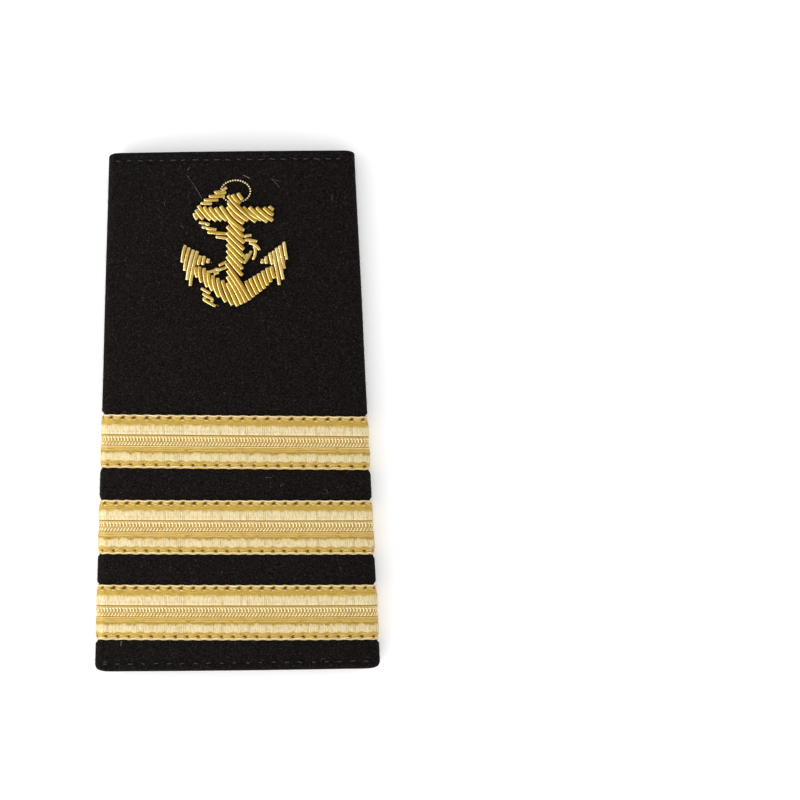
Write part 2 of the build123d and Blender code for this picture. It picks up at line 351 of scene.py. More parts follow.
def makeLaceMaterial():
    # Gold lace: silk wound with flat gilt wire and woven. The deeper gold runs lengthwise
    # in fine satiny floats, and the pale ribs stand side by side, streaked and with a dark
    # line between some of them. The mesh's pale and shade marks say which is where.
    material, tree, surface = newMaterial("wovenGiltLace", {
        "Metallic": 0.25, "Roughness": 0.55, "IOR": 1.5, "Specular IOR Level": 0.12})
    place = addNode(tree, "UVMap", uv_map="threadMap")
    pale = addNode(tree, "Attribute", attribute_name="pale", output="Fac")
    shade = addNode(tree, "Attribute", attribute_name="shade", output="Fac")
    runs = addNode(tree, "Mapping", {
        "Vector": place,
        "Scale": (1 / laceLook["floatLength"], 1 / laceLook["floatWidth"], 1)})
    floats = addNode(tree, "TexNoise", {
        "Vector": runs, "Scale": 1.0, "Detail": 3.0, "Roughness": 0.6})
    clouds = addNode(tree, "TexNoise", {
        "Vector": place, "Scale": 0.9, "Detail": 3.0, "Roughness": 0.55})
    oliveShare = addNode(tree, "MapRange", {
        "Value": floats, "From Min": 0.40, "From Max": 0.66, "To Max": 0.85})
    rustShare = addNode(tree, "MapRange", {
        "Value": clouds, "From Min": 0.5, "From Max": 0.75, "To Max": 0.45})
    gold = addNode(tree, "Mix", {
        0: oliveShare, 6: linear(laceLook["gold"]), 7: linear(laceLook["olive"])}, **colourMix)
    gold = addNode(tree, "Mix", {0: rustShare, 6: gold, 7: linear(laceLook["rust"])}, **colourMix)
    # Each rib takes its own brightness, and the line beside it its own strength
    along = addNode(tree, "SeparateXYZ", {0: place})
    ribs = addNode(tree, "Math", {0: along, 1: laceLook["ribPitch"]}, operation="DIVIDE")
    number = addNode(tree, "Math", {0: ribs}, operation="FLOOR")
    chance = addNode(tree, "TexWhiteNoise", {"W": number}, noise_dimensions="1D", output="Value")
    wave = addNode(tree, "TexWave", {
        "Vector": place, "Scale": wavePeriod / laceLook["ribPitch"]}, output="Fac")
    crease = addNode(tree, "MapRange", {"Value": wave, "From Min": 0.3, "From Max": 0.05})
    strength = addNode(tree, "MapRange", {
        "Value": chance, "From Min": 0.8, "From Max": 0.9, "To Min": 0.15, "To Max": 1.0})
    line = addNode(tree, "Math", {0: crease, 1: strength}, operation="MULTIPLY")
    drawn = addNode(tree, "Mapping", {"Vector": place, "Scale": (*laceLook["streaks"], 1)})
    grain = addNode(tree, "TexNoise", {
        "Vector": drawn, "Scale": 1.0, "Detail": 3.0, "Roughness": 0.7})
    streaks = addNode(tree, "MapRange", {
        "Value": grain, "From Min": 0.44, "From Max": 0.70, "To Max": 0.9})
    dull = addNode(tree, "Math", {0: chance, 1: 0.2, 2: streaks}, operation="MULTIPLY_ADD")
    rib = addNode(tree, "Mix", {
        0: dull, 6: linear(laceLook["pale"]), 7: linear(laceLook["streak"])}, **colourMix)
    rib = addNode(tree, "Mix", {0: line, 6: rib, 7: linear(laceLook["olive"])}, **colourMix)
    weave = addNode(tree, "Mix", {0: pale, 6: gold, 7: rib}, **colourMix)
    final = addNode(tree, "Mix", {0: shade, 6: weave, 7: linear(laceLook["shadow"])}, **colourMix)
    tree.links.new(final, surface.inputs["Base Color"])
    bump = addNode(tree, "Bump", {
        "Height": floats, "Strength": laceLook["bump"], "Distance": 0.08 * mm})
    tree.links.new(bump, surface.inputs["Normal"])
    return material


def makeThreadMaterial():
    # The lace's heavier gilt threads: brighter, with uneven tarnish along each one
    material, tree, surface = newMaterial("wovenGiltThread", {
        "Metallic": 0.3, "Roughness": 0.42, "IOR": 1.5, "Specular IOR Level": 0.25})
    place = addNode(tree, "UVMap", uv_map="threadMap")
    pale = addNode(tree, "Attribute", attribute_name="pale", output="Fac")
    winding = addNode(tree, "TexNoise", {"Vector": place, "Scale": 3.0, "Detail": 3.0})
    tone = addNode(tree, "MapRange", {
        "Value": winding, "From Min": 0.4, "From Max": 0.75, "To Max": 0.4})
    gilt = addNode(tree, "Mix", {
        0: pale, 6: linear(laceLook["gold"]), 7: linear(laceLook["thread"])}, **colourMix)
    final = addNode(tree, "Mix", {0: tone, 6: gilt, 7: linear(laceLook["rust"])}, **colourMix)
    tree.links.new(final, surface.inputs["Base Color"])
    return material


bullionLook = {
    "wire": ("#b9961e", "#fcefb4", "#85540a"),  # gilt; bright, for paler lengths and painted highlights; and wear with painted groove shade
    # For the ring: dark for the painted shade between pearls, bright for their painted highlight
    "pearl": ("#3f2a08", "#fff0be", "#a8823a"),
    "coilPitch": 0.22,  # the wire is 0.1 mm, drawn twice as coarse so that it shows
}


def makeBullionMaterial(name, gilt, bright, wornAndShaded):
    # Gilt bullion: fine gold-plated wire coiled tight on a needle and cut to length, so each
    # length is a ribbed metal tube with one bright line along it, partly a painted highlight,
    # patches of tarnish, and painted shade in the groove beside the next length, under a
    # clear lacquer
    material, tree, surface = newMaterial(name, {
        "Metallic": 1.0, "Coat Weight": 0.25, "Coat Roughness": 0.2, "Coat IOR": 1.5})
    place = addNode(tree, "TexCoord", output="Object")
    # The tint mark mixes in the bright colour: paler lengths, and painted highlights, glints and lit
    # sides
    tint = addNode(tree, "Attribute", attribute_name="tint", output="Fac")
    patch = addNode(tree, "TexNoise", {
        "Vector": place, "Scale": 1 / (0.8 * mm), "Detail": 4.0, "Roughness": 0.6})
    # The groove mark: painted shade in the groove beside the next length, with tarnish
    grime = addNode(tree, "Attribute", attribute_name="grime", output="Fac")
    wearAndShade = addNode(tree, "MapRange", {
        "Value": patch, "From Min": 0.44, "From Max": 0.72, "To Max": 0.5})
    wearAndShade = addNode(tree, "Math", {0: wearAndShade, 1: grime}, operation="MAXIMUM")
    base = addNode(tree, "Mix", {0: tint, 6: linear(gilt), 7: linear(bright)}, **colourMix)
    final = addNode(tree, "Mix", {0: wearAndShade, 6: base, 7: linear(wornAndShaded)}, **colourMix)
    tree.links.new(final, surface.inputs["Base Color"])
    rough = addNode(tree, "MapRange", {
        "Value": patch, "From Min": 0.3, "From Max": 0.8, "To Min": 0.28, "To Max": 0.40})
    tree.links.new(rough, surface.inputs["Roughness"])
    return material


def makeFibreMaterial(name, hexColour, roughness):
    # Spun thread, padding or a loose fibre: dull, and uneven in tone
    material, tree, surface = newMaterial(name, {
        "Roughness": roughness, "IOR": 1.5, "Specular IOR Level": 0.35})
    place = addNode(tree, "TexCoord", output="Object")
    noise = addNode(tree, "TexNoise", {"Vector": place, "Scale": 1 / (0.5 * mm), "Detail": 2.0})
    tone = addNode(tree, "MapRange", {"Value": noise, "To Max": 0.8})
    colour = addNode(tree, "Mix", {
        0: tone, 6: linear(hexColour), 7: linear("#808080")},
        blend_type="MULTIPLY", **colourMix)
    tree.links.new(colour, surface.inputs["Base Color"])
    return material


drillLook = {"deep": "#0b0b0c", "rib": "#232226", "ribPitch": 0.6, "turn": 63.0}


def makeDrillMaterial():
    # Black cotton drill: a close matte weave with the slanting rib of its twill
    material, tree, surface = newMaterial("blackCottonDrill", {
        "Roughness": 0.85, "IOR": 1.5, "Specular IOR Level": 0.25})
    place = addNode(tree, "TexCoord", output="Object")
    turned = addNode(tree, "Mapping", {
        "Vector": place, "Rotation": (0, 0, math.radians(drillLook["turn"]))})
    twill = addNode(tree, "TexWave", {
        "Vector": turned, "Scale": wavePeriod / (drillLook["ribPitch"] * mm), "Distortion": 1.2,
        "Detail": 2.0, "Detail Scale": 2.0}, output="Fac")
    ribs = addNode(tree, "Mix", {
        0: twill, 6: linear(drillLook["deep"]), 7: linear(drillLook["rib"])}, **colourMix)
    tree.links.new(ribs, surface.inputs["Base Color"])
    bump = addNode(tree, "Bump", {"Height": twill, "Strength": 0.5, "Distance": 0.1 * mm})
    tree.links.new(bump, surface.inputs["Normal"])
    return material


felt = makeFeltMaterial()
lace = makeLaceMaterial()
laceThread = makeThreadMaterial()
bullion = makeBullionMaterial("coiledGiltBullion", *bullionLook["wire"])
pearlWire = makeBullionMaterial("gildedPearlPurl", *bullionLook["pearl"])
drill = makeDrillMaterial()
padding = makeFibreMaterial("yellowCottonPadding", "#8a5c14", 0.8)
hemThread = makeFibreMaterial("spunPolyesterThread", "#2f2c2b", 0.6)
woolFibre = makeFibreMaterial("looseWoolFibre", "#4a403c", 0.9)
lintFibre = makeFibreMaterial("strayLint", "#a9a4a6", 0.8)
print("materials made")


# The felted face, folded round both sides, its sides turned under and its ends turned in
face = {
    "thickness": 1.6,
    "returnDepth": 11.0,
    "hemThickness": 0.8,
    "hemDepth": 7.0,
    "hemFade": 4.0,  # the turned-in edge thins out towards the side folds
    "edgeRadius": 0.7,
    "seamGap": 1.85,  # the hem's stitches, from the edge
    "seamDip": 0.22,
    "seamWidth": 0.45,
    "hemEdge": 0.15,  # how far its raw edge slopes to either side
    "waviness": 0.12,
    "hillSpread": 30.0,  # the hills' pattern takes the fold to lie that far out
    "calmEnd": 6.0,  # and dies out towards each end
    "sideWaviness": 0.10,
    "endZone": 5.0,  # where the rows crowd towards each end
    "foldRun": 3.0,  # the cloth that both folds take up
    "stations": (50, 15, 9),  # rows over half the arch, a fold and a turned-under side
    "endRows": 26,  # of points along the slide, in an end zone and between them
    "middleRows": 170,
}


def cornerInset(along):
    # A quarter circle draws the side in near each end: radius - sqrt(radius^2 - d^2)
    total = 0
    for end, radius in ((-1, slide["shoulderCorner"]), (1, slide["neckCorner"])):
        past = np.clip(along * end - (slide["half"] - radius), 0, radius)
        total = total + radius - np.sqrt(radius**2 - past**2)
    return total


def makeFace():
    # A closed ring runs along the outside, round one end, back along the inside and round
    # the other end, and is carried from one turned-under edge over the arch to the other.
    # Level is 0 outside, less the thickness inside, and meets halfway round each end.
    run = face["returnDepth"] - slide["foldRadius"]
    arch, fold, under = (np.linspace(k, k + 1, n) for k, n in enumerate(face["stations"]))
    stations = np.concatenate([arch, fold[1:], under[1:]])
    stations = np.concatenate([-stations[:0:-1], stations])
    half = slide["half"]
    plain = half - face["endZone"]
    nearEnd = plain + face["endZone"] * (1 - (1 - np.linspace(0, 1, face["endRows"])[1:]) ** 1.6)
    along = np.linspace(-plain, plain, face["middleRows"])
    along = np.concatenate([-nearEnd[::-1], along, nearEnd])
    place, y = np.meshgrid(stations, along, indexing="ij")
    fromEnd = half - np.abs(y)
    curl = 1 - np.sqrt(1 - (1 - np.clip(fromEnd / face["edgeRadius"], 0, 1)) ** 2)
    inset = cornerInset(y)
    foldX, archRadius, lean = archOf(y, inset)
    x = np.sin(np.clip(np.abs(place), 0, 1) * lean) * archRadius
    rawEdge, slope = face["hemDepth"], face["hemEdge"]
    hem = smoothStep(fromEnd, rawEdge + slope, rawEdge - slope)
    hem = hem * smoothStep(foldX - x, 0.8, face["hemFade"])
    total = face["thickness"] + face["hemThickness"] * hem
    onFace = 1 - smoothStep(np.abs(place), 1.0, 1.15)
    hills = wobble(place * face["hillSpread"], y, size=14, seed=3)
    relief = face["waviness"] * hills * onFace * smoothStep(fromEnd, 0, face["calmEnd"])
    relief = relief - face["seamDip"] * bell(fromEnd - face["seamGap"], face["seamWidth"]) * onFace
    onFold = smoothStep(np.abs(place), 1.0, 1.3) * smoothStep(np.abs(place), 1.8, 1.5)
    dents = (1 + wobble(np.sign(place) * 9, y, size=17, seed=4)) / 2
    relief = relief - face["sideWaviness"] * dents * onFold
    for plan in laces.values():
        fromLine = np.abs(y - plan["middle"] + plan["tilt"] * np.sign(place) * halfWidth(y))
        relief = relief - foldPress(place) * smoothStep(fromLine - plan["width"] / 2, 0.6, 0.0)
    outer = wrapPoint(place, y, relief - curl * total / 2, inset, run)
    inner = wrapPoint(place, y, curl * total / 2 - total, inset, run)
    points = np.concatenate([outer, inner[:, ::-1]], 1)
    rows, columns = points.shape[:2]
    strip = np.arange(columns // 2 - 1)
    first = np.stack([strip, columns - 1 - strip, columns - 2 - strip, strip + 1], -1)
    last = first[:, ::-1] + (rows - 1) * columns
    quads = np.concatenate([gridFaces(rows, columns, closeColumns=True), first, last])
    shape = {"points": points, "quads": quads, "caps": []}
    return makePiece("felt_face", shape, felt, ["face_panel"])


feltFace = makeFace()
print("face made")


# The hem's running stitches: each is a short thread that dives into the cloth at both ends
hem = {
    "neck": {"gap": 1.85, "stitch": 1.2, "pitch": 2.4},
    "shoulder": {"gap": 1.7, "stitch": 1.0, "pitch": 2.85},
    "radius": 0.15,
    "sideGap": 2.2,
    "height": 0.24,
    "scatter": 0.12,
    "lengths": (0.7, 1.15),  # of a stitch, against its row's own
}


def makeHemStitches():
    # The thread's height over the cloth is a flattened half wave, sunk at both ends, and it
    # thins a little there. Places, slants and lengths are scattered evenly.
    t = np.linspace(0, 1, 13)
    paths = []
    for end, seam in ((1, hem["neck"]), (-1, hem["shoulder"])):
        y = end * (slide["half"] - seam["gap"])
        reach = halfWidth(y) - hem["sideGap"]
        middle = np.arange(-reach, reach, seam["pitch"])[:, None]
        shift, slant, offset = hem["scatter"] * rng.uniform(-1, 1, (3, *middle.shape))
        length = seam["stitch"] * rng.uniform(*hem["lengths"], middle.shape)
        x = middle + shift + (t - 0.5) * length
        across = y + offset / 2 + slant * (t - 0.5) * 2
        height = (np.sin(np.pi * t) ** 0.6 - 1) * hem["height"]
        paths.append(np.stack([x, across, faceLevel(x, across) + height], -1))
    paths = np.concatenate(paths)
    thin = np.sin(np.pi * np.linspace(0.03, 0.97, len(t))) ** 0.25
    makePiece("hem_stitches", tubes(paths, hem["radius"] * thin), hemThread)


makeHemStitches()
print("hem stitched")


# The back panel
back = {
    "cornerRadius": 3.0,
    "sideInset": 6.0,
    "seamGap": 1.75,
    "seamDip": 0.12,
    "seamWidth": 0.5,
    "rows": 101,
    "columns": 71,
}


def makeBack():
    # A flat ring across the panel with round sides is carried along the slide. The panel
    # follows the sides' taper, its corners are quarter circles and its seam lies in a dip.
    # Its rows stand closer near both ends, by 0.65 t + 0.35 sin(t pi / 2).
    endY, top = backHigh[1], backHigh[2]
    t = np.linspace(-1, 1, back["rows"])
    along = endY * (0.65 * t + 0.35 * np.sin(t * np.pi / 2))[:, None]
    past = np.clip(np.abs(along) - (endY - back["cornerRadius"]), 0, back["cornerRadius"])
    inset = back["cornerRadius"] - np.sqrt(back["cornerRadius"] ** 2 - past**2)
    reach = halfWidth(along) - back["sideInset"] - inset
    rim = np.linspace(0, np.pi, 7)[1:-1]
    radius = top / 2
    fromEnd = endY - np.abs(along)
    thin = radius * np.sqrt(1 - (1 - np.clip(fromEnd / radius, 0.02, 1)) ** 2)
    flat = np.linspace(-1, 1, back["columns"]) * (reach - radius)
    fromSide = np.minimum(reach - np.abs(flat), fromEnd)
    dip = back["seamDip"] * bell(fromSide - back["seamGap"], back["seamWidth"])
    side = reach - radius + radius * np.sin(rim)
    sideZ = radius - thin * np.cos(rim)
    x = np.concatenate([flat, side, flat[:, ::-1], -side[:, ::-1]], 1)
    z = np.concatenate([radius - thin + dip, sideZ, radius + thin + 0 * flat, sideZ[:, ::-1]], 1)
    points = np.stack([x, np.broadcast_to(along, x.shape), z], -1)
    return makePiece("drill_back", ringGrid(points), drill, ["back_panel"])


drillBack = makeBack()
print("back made")


# The laces. v is the place over a lace's width in millimetres, from its neck-side edge
laceShape = {
    "width": 12.0,
    "run": 3.7,  # how far each end is turned under
    "gap": 0.05,
    "upperHoles": 0.58,
    "lowerHoles": 11.22,
    "holeLength": 0.48,
    "holeWidth": 0.34,
    "holeDepth": 0.34,
    "lowBorder": 10.35,  # this border swings up over each lower hole
    "lowReach": 0.35,
    "lowSwing": 0.28,
    "mostAside": 200,  # ribs or holes are counted from the crown, fewer than that to each side
    "holeScatter": 0.10,  # of their places
    "holeSpread": 0.12,  # of their sizes, as a share
    "holeSlant": 0.18,
    "tailLength": 1.9,  # the dark dip in front of each hole
    "tailPlace": 0.14,
    "tailWidth": 0.09,
    "tailDepth": 0.08,
    "tailShade": 0.75,
    "ribHeight": 0.02,
    "fineHills": 0.012,
    "broadHills": 0.02,
    "rows": 430,  # of points, along a lace
    "rowStep": 0.2,  # over the width, between the bands' own places
    "leastStep": 0.035,
    "edgeInset": 0.14,
    "foldPull": 0.14,  # how far the edges sink on the folds
    "pullWidth": 1.3,
}
# The borders that wander: place, reach, sway, size of a sway and how far the ribs fray it
laceBorders = ((2.3, 0.45, 0.09, 2.7, 0.12), (8.65, 0.50, 0.16, 1.9, 0.14))
# The weave over the width: place, height, how pale it is and how dark
laceBands = np.array((
    (0.00, 0.20, 0.5, 0.0),
    (0.15, 0.38, 0.5, 0.0),
    (0.40, 0.40, 0.3, 0.0),
    (0.85, 0.44, 0.0, 0.0),
    (2.12, 0.48, 0.0, 0.0),
    (2.62, 0.48, 0.8, 0.0),
    (3.62, 0.50, 0.9, 0.0),
    (3.72, 0.47, 0.8, 0.03),
    (3.84, 0.51, 1.0, 0.0),
    (4.36, 0.50, 1.0, 0.0),
    (4.43, 0.34, 0.0, 0.42),
    (4.56, 0.34, 0.0, 0.42),
    (4.64, 0.44, 0.0, 0.0),
    (5.05, 0.42, 0.1, 0.0),
    (5.15, 0.34, 0.13, 0.07),
    (6.05, 0.34, 0.13, 0.07),
    (6.15, 0.37, 0.2, 0.0),
    (6.30, 0.34, 0.13, 0.09),
    (6.80, 0.34, 0.13, 0.09),
    (6.92, 0.36, 0.0, 0.30),
    (7.05, 0.44, 0.0, 0.0),
    (8.08, 0.48, 0.0, 0.0),
    (8.18, 0.44, 0.0, 0.28),
    (8.40, 0.44, 0.0, 0.22),
    (8.80, 0.49, 0.65, 0.0),
    (9.30, 0.49, 0.8, 0.0),
    (10.24, 0.49, 0.85, 0.0),
    (10.42, 0.45, 0.1, 0.12),
    (10.65, 0.46, 0.0, 0.0),
    (11.36, 0.42, 0.0, 0.0),
    (11.52, 0.36, 0.0, 0.25),
    (11.66, 0.36, 0.3, 0.0),
    (11.88, 0.36, 0.5, 0.0),
    (12.00, 0.20, 0.5, 0.0),
))


def laceOn(plan, girth, v, level):
    # A point of a lace that lies slightly askew: girth along it from the crown, v over its
    # width and level above the cloth. Its edges are pulled tight on the folds.
    middle = plan["middle"]
    width = laceShape["width"]
    inset = (plan["width"] - 2 * laceShape["edgeInset"]) / width
    sideways = np.clip(girth, -halfWidth(middle), halfWidth(middle))
    along = middle - (v - width / 2) * inset - plan["tilt"] * sideways
    station = stationAt(girth, middle, laceShape["run"])
    fromEdge = np.minimum(v, width - v)
    onFold = smoothStep(np.abs(station), 0.98, 1.3)
    pulled = laceShape["foldPull"] * bell(fromEdge, laceShape["pullWidth"]) * onFold
    return wrapPoint(station, along, level - pulled - foldPress(station), 0.0, laceShape["run"])


def laceTubes(plan, girth, v, level, radius, pale):
    # Threads on a lace, their rings set out from its own surface direction
    paths = laceOn(plan, girth, v, level)
    up = unit(laceOn(plan, girth, v, level + 1.0) - paths)
    paleness = np.clip(pale + 0.12 * rng.normal(size=(len(paths), 1, 1)), 0, 1)
    return tubes(paths, radius, 6, up, pale=paleness)


def makeWeave(name, plan):
    # The weave's height and colour are read from the bands, whose borders wander or, the
    # lowest, rise over each needle hole. A hole is a dent of exp(-r^3), with r over its
    # long and short size, and a dark tail in front of it.
    reach, pitch = plan["reach"], plan["pitch"]
    phases = (plan["phase"], plan["phase"] + plan["shift"])
    width, aside = laceShape["width"], laceShape["mostAside"]
    girth = np.linspace(-reach, reach, laceShape["rows"])
    knots = laceBands[:, 0]
    v = np.unique(np.concatenate([knots, np.arange(0, width, laceShape["rowStep"])]).round(2))
    v = v[np.concatenate([[True], np.diff(v) > laceShape["leastStep"]])]
    g, across = np.meshgrid(girth, v, indexing="ij")
    number = np.round(g / laceLook["ribPitch"]).astype(int) + aside
    ribEnds = rng.normal(size=(3, 2 * aside))[:, number]
    read = across
    for (place, reachOver, sway, size, fray), ends, seed in zip(laceBorders, ribEnds, (31, 32)):
        border = sway * wobble(g, 0 * g, size, seed) + fray * ends
        read = read + border * bell(across - place, reachOver)
    notch = np.cos((g - plan["phase"] - plan["shift"]) * np.pi / pitch) ** 2
    border = laceShape["lowSwing"] * (notch - 0.5) + 0.05 * ribEnds[2]
    read = read + border * bell(across - laceShape["lowBorder"], laceShape["lowReach"])
    height, pale, shade = (np.interp(read, knots, laceBands[:, k]) for k in (1, 2, 3))
    hole = 0
    for row, phase, size in ((laceShape["upperHoles"], phases[0], 1.0),
                             (laceShape["lowerHoles"], phases[1], 0.8)):
        number = np.round((g - phase) / pitch).astype(int) + aside
        moved = laceShape["holeScatter"] * rng.normal(size=2 * aside)[number]
        near = g - phase - (number - aside) * pitch + moved
        size = size * (1 + laceShape["holeSpread"] * rng.normal(size=2 * aside)[number])
        slanted = across - row + laceShape["holeSlant"] * near
        distance = (near / laceShape["holeLength"]) ** 2 + (slanted / laceShape["holeWidth"]) ** 2
        distance = distance / size**2
        tail = np.clip(1 + near / laceShape["tailLength"], 0, 1) * (near < 0)
        line = tail**2 * bell(across - row - laceShape["tailPlace"], laceShape["tailWidth"])
        hole = hole + np.exp(-(distance**1.5))
        shade = shade + laceShape["tailShade"] * line
        height = height - laceShape["tailDepth"] * line
    ribs = laceShape["ribHeight"] * np.abs(np.cos(g * np.pi / laceLook["ribPitch"])) * pale
    fine = laceShape["fineHills"] * wobble(g, across, size=0.9, seed=5)
    broad = laceShape["broadHills"] * wobble(g, across, size=4.0, seed=6)
    level = laceShape["gap"] + height - laceShape["holeDepth"] * hole + ribs + fine + broad
    top = laceOn(plan, g, across, level)
    g2, across2 = np.meshgrid(girth, np.linspace(width, 0, 3), indexing="ij")
    bottom = laceOn(plan, g2, across2, laceShape["gap"] + 0 * g2)
    plain = np.zeros(g2.shape)
    shape = ringGrid(
        np.concatenate([top, bottom], 1),
        np.stack([np.concatenate([g, g2], 1), np.concatenate([across, across2], 1)], -1),
        pale=np.concatenate([pale * (1 - hole), plain], 1),
        shade=np.concatenate([np.clip(shade + hole, 0, 1), plain], 1),
    )
    return makePiece(f"{name}_weave", shape, lace, [name])


# The cords along each lace: place over the width, radius, how pale, height
laceCords = (
    (4.83, 0.16, 0.25, 0.40),
    (7.14, 0.11, 0.60, 0.42),
    (7.50, 0.14, 0.00, 0.42),
    (7.92, 0.11, 0.40, 0.44),
)
# Stitches beside each hole, for the upper holes (-1) and the lower ones (1): where each one
# starts from the hole's middle, its reach along and over the width, its bow, radius, paleness
holeStitches = {
    -1: (
        (-0.45, 0.42, 0.90, 0.00, -0.16, 0.10, 0.7),
        (0.40, 0.02, 1.10, 0.42, 0.05, 0.09, 0.45),
        (-1.75, 0.38, 1.30, 0.02, 0.00, 0.08, 0.45),
    ),
    1: (
        (0.30, 0.05, 1.25, -0.62, 0.00, 0.11, 0.3),
        (-0.15, -0.30, 1.00, -0.42, 0.00, 0.10, 0.25),
        (0.85, 0.12, 1.10, -0.42, 0.00, 0.09, 0.2),
    ),
}
# One stitch of the braid in each row: steps along, place over the width, height
braidRows = (
    (((-0.36, 5.22, 0.38), (-0.24, 5.08, 0.43), (-0.08, 5.07, 0.47), (0.02, 5.20, 0.49),
      (0.03, 5.45, 0.50), (0.02, 5.70, 0.48), (-0.01, 5.92, 0.38)), 0.13, 1.0),
    (((0.44, 6.12, 0.37), (0.42, 6.26, 0.44), (0.36, 6.42, 0.47), (0.26, 6.60, 0.47),
      (0.12, 6.73, 0.44), (-0.05, 6.77, 0.36)), 0.13, 0.95),
)


# The bar from hole to hole: place and slant towards the row's edge, radius of the upper
# ones, how far they thicken, and of the lower ones
holeBar = {"place": 0.50, "slant": -0.20, "upper": (0.10, 0.10), "lower": 0.13, "pale": 0.75}
# The thread along each edge, which waves with the holes
edgeThread = {
    "inset": 0.10,
    "radius": 0.13,
    "height": 0.27,
    "rise": 0.04,
    "wave": 0.05,
    "pale": 0.5,
}


def makeLaceThreads(name, plan):
    # Cords, the braid's two rows, and the threads that the needle holes divide: a bar that
    # thickens towards each hole along both edges and short stitches beside the holes
    reach, pitch = plan["reach"], plan["pitch"]
    phases = (plan["phase"], plan["phase"] + plan["shift"])
    parts = []
    girth = np.linspace(-reach + 0.1, reach - 0.1, 340)[None]
    for v, radius, pale, height in laceCords:
        wander = v + 0.02 * wobble(girth, girth * 0, size=3.0, seed=int(v * 10))
        parts.append(laceTubes(plan, girth, wander, height, radius, pale))
    for knots, radius, pale in braidRows:
        knots = np.array(knots)
        t = np.linspace(0, len(knots) - 1, 10)
        steps, v, rise = (np.interp(t, np.arange(len(knots)), knots[:, k]) for k in range(3))
        start = np.arange(-reach + 0.9, reach - 0.9, plan["braid"])[:, None]
        shift, lift = rng.uniform(-0.04, 0.04, (2, *start.shape))
        parts.append(laceTubes(plan, start + shift + steps, v + lift / 2, rise + lift, radius, pale))
    t = np.linspace(0, 1, 11)
    swell = np.sin(np.pi * np.clip(t, 0.06, 0.94)) ** 0.4
    for row, phase, edge in ((laceShape["upperHoles"], phases[0], 0.0),
                             (laceShape["lowerHoles"], phases[1], laceShape["width"])):
        first = phase + pitch * math.ceil((-reach + 0.8 - phase) / pitch)
        hole = np.arange(first, reach - pitch - 0.3, pitch)[:, None]
        out = math.copysign(1, edge - row)
        side = row + out * (holeBar["place"] + holeBar["slant"] * t)
        least, more = holeBar["upper"]
        wide = (least + more * t) * swell if out < 0 else holeBar["lower"] * swell
        along = hole + 0.1 + t * (pitch - 0.25)
        parts.append(laceTubes(plan, along, side, 0.26 + 0.12 * swell, wide, holeBar["pale"]))
        for fromHole, v, reachOut, rise, bow, radius, pale in holeStitches[out]:
            along = hole + fromHole + t * reachOut + rng.uniform(-0.06, 0.06, hole.shape)
            near = row + v + t * rise - bow * 4 * t * (1 - t)
            parts.append(laceTubes(plan, along, near, 0.30 + 0.15 * swell, radius * swell, pale))
    inset, radius, pale = (edgeThread[key] for key in ("inset", "radius", "pale"))
    for edge, out, phase in ((inset, -1, phases[0]), (laceShape["width"] - inset, 1, phases[1])):
        wave = np.cos((girth - phase) * 2 * np.pi / pitch)
        v = edge + out * edgeThread["wave"] * wave
        v = v + 0.02 * wobble(girth, girth * 0, size=1.1, seed=21)
        height = edgeThread["height"] + edgeThread["rise"] * wave
        parts.append(laceTubes(plan, girth, v, height, radius, pale))
    return makePiece(f"{name}_threads", joined(parts), laceThread)


for name, plan in laces.items():
    foldX, archRadius, lean = archOf(plan["middle"])
    plan["reach"] = archRadius * lean + slide["foldRadius"] * (np.pi - lean) + laceShape["run"]
    weave = makeWeave(name, plan)
    threads = makeLaceThreads(name, plan)
print("laces made")


# The anchor, laid in lengths of bullion. The angles are degrees up from a length's left flank.
bullionShape = {
    "bedding": 0.75,  # how high a length's middle line lies over the cloth, in its radii
    "padReach": 3.0,  # shorter lengths are lifted less
    "domePower": 0.55,  # the half wave of a length's height, flattened
    "sink": 0.12,
    "leastSize": 0.96,
    "sizeSpread": 0.07,
    "endRounding": 0.25,  # how long a closed-in end is, in radii
    "endClosing": 0.75,  # and how far it closes, as the square of the radius
    "ringStep": 0.065,
    "sides": 16,
    "squash": 0.9,  # the lengths lie pressed flat a little
    "coilDepth": 0.007,
    "coilTone": 0.05,  # painted shade: how much brighter each turn of the wire is than the shaded gap beside it
    # A painted highlight: a bright line along each length's left shoulder
    "highlightAt": 33.0,
    "highlightWidth": 20.0,
    "flankAt": 30.0,
    "flankTone": 0.05,  # painted light: how much brighter the left half, on the lamp's side, is than the right
    "tipAt": 60.0,
    "tipReach": 0.3,
    "tipTone": 0.7,  # a painted glint where the cut ends catch the light
    "grimeAt": 155.0,  # painted shade in the groove beside the next length
    "grimeWidth": 32.0,
    "grimeTone": 0.4,
}
# Radius, height over the cloth, how far the padding lifts the middles, least and most tint,
# and how tarnished a length can be
anchorWire = {"radius": 0.50, "lift": 0.0, "pad": 0.40, "tints": (0.0, 0.06), "tarnish": 0.5}
flukeWire = {"radius": 0.43, "tints": (0.08, 0.38), "tarnish": 0.2}
ropeWire = {"radius": 0.39, "lift": 0.05, "pad": 0.25, "tints": (0.0, 0.25), "tarnish": 0.45}
